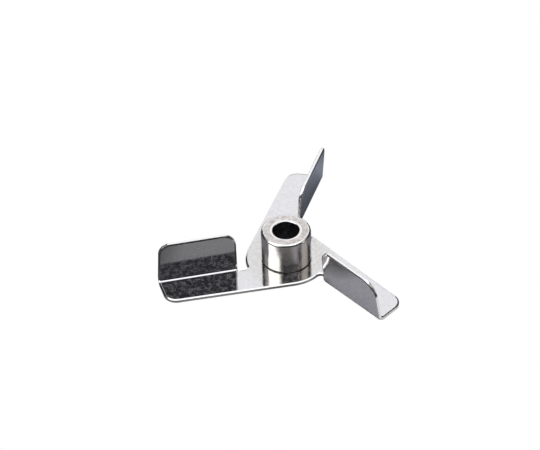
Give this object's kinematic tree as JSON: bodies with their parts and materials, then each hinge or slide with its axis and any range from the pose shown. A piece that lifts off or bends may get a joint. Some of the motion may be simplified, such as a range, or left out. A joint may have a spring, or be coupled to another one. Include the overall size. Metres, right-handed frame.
{
  "type": "stirring impeller",
  "caption": "Stirring impeller of polished steel: flat arms from a round middle, one edge of each folded up as a paddle, with a bored boss welded through it and a set screw for the shaft.",
  "frame": {"origin": "on the axis of the shaft bore, at the underside of the sheet", "axes": "+Z along the bore, from the sheet's underside to the top of the boss; +X points between two arms, 11 degrees clockwise of the set screw's axis; the arms point at 191, 311 and 71 degrees from +X"},
  "size_m": [0.0712, 0.0688, 0.0138],
  "materials": {
    "sheet_steel": "polished stainless sheet, lightly mottled",
    "turned_steel": "polished stainless with fine turning marks",
    "weld_metal": "ground weld metal",
    "screw_steel": "plain machined stainless"
  },
  "bodies": {
    "impeller": {"blade_plate": "sheet_steel", "hub": "turned_steel", "weld_bead": "weld_metal"},
    "screw": {"set_screw": "screw_steel"}
  },
  "joints": [
    {"name": "set_screw_travel", "type": "slide", "parent": "impeller", "child": "screw", "axis": [0.9816, 0.1908, 0], "range_m": [-0.0001, 0.002]}
  ]
}
